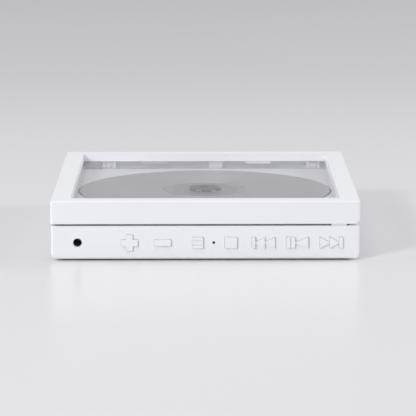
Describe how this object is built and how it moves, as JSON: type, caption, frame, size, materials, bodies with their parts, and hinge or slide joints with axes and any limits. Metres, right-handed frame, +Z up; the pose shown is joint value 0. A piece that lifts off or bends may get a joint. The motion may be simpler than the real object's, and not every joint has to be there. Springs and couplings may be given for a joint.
{
  "type": "wall mounted compact disc player",
  "caption": "Slim square disc player with a hinged window lid, raised icon buttons and a headphone socket on one edge, and keyholes behind.",
  "frame": {"origin": "on the plane of the four feet, under the spindle and the middle of the case", "axes": "+Z up through the lid, +Y from the button edge to the hinge edge, +X to the right as seen from the button edge"},
  "size_m": [0.14, 0.1546, 0.0273],
  "materials": {
    "shell_white": "satin moulded white",
    "deck_white": "satin moulded off-white",
    "button_white": "satin moulded white",
    "clear_pane": "clear, slightly smoky pane",
    "clip_white": "satin",
    "foot_rubber": "matte black",
    "bumper_silicone": "translucent white",
    "steel": "turned steel",
    "screw_black": "blackened steel",
    "nickel": "nickel-plated magnet",
    "bracket_white": "satin moulded white",
    "board_green": "solder mask",
    "chip_black": "epoxy package",
    "switch_grey": "moulded",
    "led_clear": "clear package",
    "light_smoke": "smoked",
    "socket_black": "moulded black",
    "port_metal": "plated shell",
    "pouch_silver": "laminated foil pouch",
    "ribbon_film": "polyimide film",
    "chassis_grey": "moulded dark grey",
    "damper_rubber": "soft rubber",
    "motor_can": "zinc-plated can",
    "gear_white": "acetal",
    "pinion_brass": "brass",
    "sled_black": "glass-filled plastic",
    "cover_black": "moulded",
    "lens_glass": "coated lens",
    "turntable_grey": "moulded",
    "hub_grey": "moulded",
    "pawl_white": "acetal",
    "disc_silver": "mirror-backed polycarbonate"
  },
  "bodies": {
    "base": {"base_tub": "shell_white", "foot_pads": "foot_rubber", "case_screws": "screw_black", "deck_plate": "deck_white", "base_magnets": "nickel", "hinge_bracket_left": "bracket_white", "hinge_bracket_right": "bracket_white", "hinge_screws": "screw_black", "button_board": "board_green", "tact_switches": "switch_grey", "status_led": "led_clear", "light_pipe": "light_smoke", "headphone_jack": "socket_black", "main_board": "board_green", "board_screws": "steel", "board_chips": "chip_black", "board_ribbon": "ribbon_film", "usb_c_receptacle": "port_metal", "battery_pack": "pouch_silver", "lid_sensor": "chip_black", "mechanism_chassis": "chassis_grey", "damper_grommets": "damper_rubber", "mechanism_screws": "steel", "guide_rail_main": "steel", "guide_rail_aux": "steel", "spindle_motor": "motor_can", "sled_motor": "motor_can", "motor_screws": "steel", "gear_shaft": "steel"},
    "lid": {"lid_frame": "shell_white", "lid_window": "clear_pane", "window_clips": "clip_white", "lid_magnets": "nickel", "hinge_pins": "steel", "lid_bumper": "bumper_silicone"},
    "spindle": {"spindle_shaft": "steel", "turntable": "turntable_grey", "platter_pad": "damper_rubber", "spindle_hub": "hub_grey", "hub_ribs": "pawl_white", "compact_disc": "disc_silver"},
    "pickup": {"pickup_sled": "sled_black", "sled_rack": "gear_white", "actuator_cover": "cover_black"},
    "lens": {"lens_holder": "cover_black", "objective_lens": "lens_glass"},
    "gear": {"reduction_gear": "gear_white"},
    "motor_rotor": {"motor_shaft": "steel", "motor_pinion": "pinion_brass"},
    "pawl_1": {"hub_pawl_1": "pawl_white"},
    "pawl_2": {"hub_pawl_2": "pawl_white"},
    "pawl_3": {"hub_pawl_3": "pawl_white"},
    "key_volume_up": {"button_volume_up": "button_white"},
    "key_volume_down": {"button_volume_down": "button_white"},
    "key_mode": {"button_mode": "button_white"},
    "key_stop": {"button_stop": "button_white"},
    "key_previous": {"button_previous": "button_white"},
    "key_play_pause": {"button_play_pause": "button_white"},
    "key_next": {"button_next": "button_white"}
  },
  "joints": [
    {"name": "lid_hinge", "type": "hinge", "parent": "base", "child": "lid", "pos_m": [0, 0.0736, 0.0213], "axis": [-1, 0, 0], "range_deg": [0, 85]},
    {"name": "press_volume_up", "type": "slide", "parent": "base", "child": "key_volume_up", "axis": [0, 1, 0], "range_m": [0, 0.0005], "stiffness_N_per_m": 1500},
    {"name": "press_volume_down", "type": "slide", "parent": "base", "child": "key_volume_down", "axis": [0, 1, 0], "range_m": [0, 0.0005], "stiffness_N_per_m": 1500},
    {"name": "press_mode", "type": "slide", "parent": "base", "child": "key_mode", "axis": [0, 1, 0], "range_m": [0, 0.0005], "stiffness_N_per_m": 1500},
    {"name": "press_stop", "type": "slide", "parent": "base", "child": "key_stop", "axis": [0, 1, 0], "range_m": [0, 0.0005], "stiffness_N_per_m": 1500},
    {"name": "press_previous", "type": "slide", "parent": "base", "child": "key_previous", "axis": [0, 1, 0], "range_m": [0, 0.0005], "stiffness_N_per_m": 1500},
    {"name": "press_play_pause", "type": "slide", "parent": "base", "child": "key_play_pause", "axis": [0, 1, 0], "range_m": [0, 0.0005], "stiffness_N_per_m": 1500},
    {"name": "press_next", "type": "slide", "parent": "base", "child": "key_next", "axis": [0, 1, 0], "range_m": [0, 0.0005], "stiffness_N_per_m": 1500},
    {"name": "disc_spin", "type": "hinge", "parent": "base", "child": "spindle", "pos_m": [0, 0, 0.019], "axis": [0, 0, 1], "continuous": true},
    {"name": "pawl_1_press", "type": "slide", "parent": "spindle", "child": "pawl_1", "axis": [0.4067, 0.9135, 0], "range_m": [0, 0.0007], "stiffness_N_per_m": 300},
    {"name": "pawl_2_press", "type": "slide", "parent": "spindle", "child": "pawl_2", "axis": [-0.9945, -0.1045, 0], "range_m": [0, 0.0007], "stiffness_N_per_m": 300},
    {"name": "pawl_3_press", "type": "slide", "parent": "spindle", "child": "pawl_3", "axis": [0.5878, -0.809, 0], "range_m": [0, 0.0007], "stiffness_N_per_m": 300},
    {"name": "pickup_slide", "type": "slide", "parent": "base", "child": "pickup", "axis": [1, 0, 0], "range_m": [0, 0.0345]},
    {"name": "lens_focus", "type": "slide", "parent": "pickup", "child": "lens", "axis": [0, 0, 1], "range_m": [-0.0005, 0.0005], "stiffness_N_per_m": 60},
    {"name": "gear_turn", "type": "hinge", "parent": "base", "child": "gear", "pos_m": [0.0295, -0.025, 0.0101], "axis": [0, 0, 1], "range_deg": [-663.9, 5]},
    {"name": "motor_turn", "type": "hinge", "parent": "base", "child": "motor_rotor", "pos_m": [0.01999, -0.02809, 0.0101], "axis": [0, 0, 1], "range_deg": [-20, 2655.6]}
  ],
  "couplings": [
    {"joint": "gear_turn", "follows": "pickup_slide", "rad_per_m": -333.33},
    {"joint": "motor_turn", "follows": "pickup_slide", "rad_per_m": 1333.3}
  ]
}
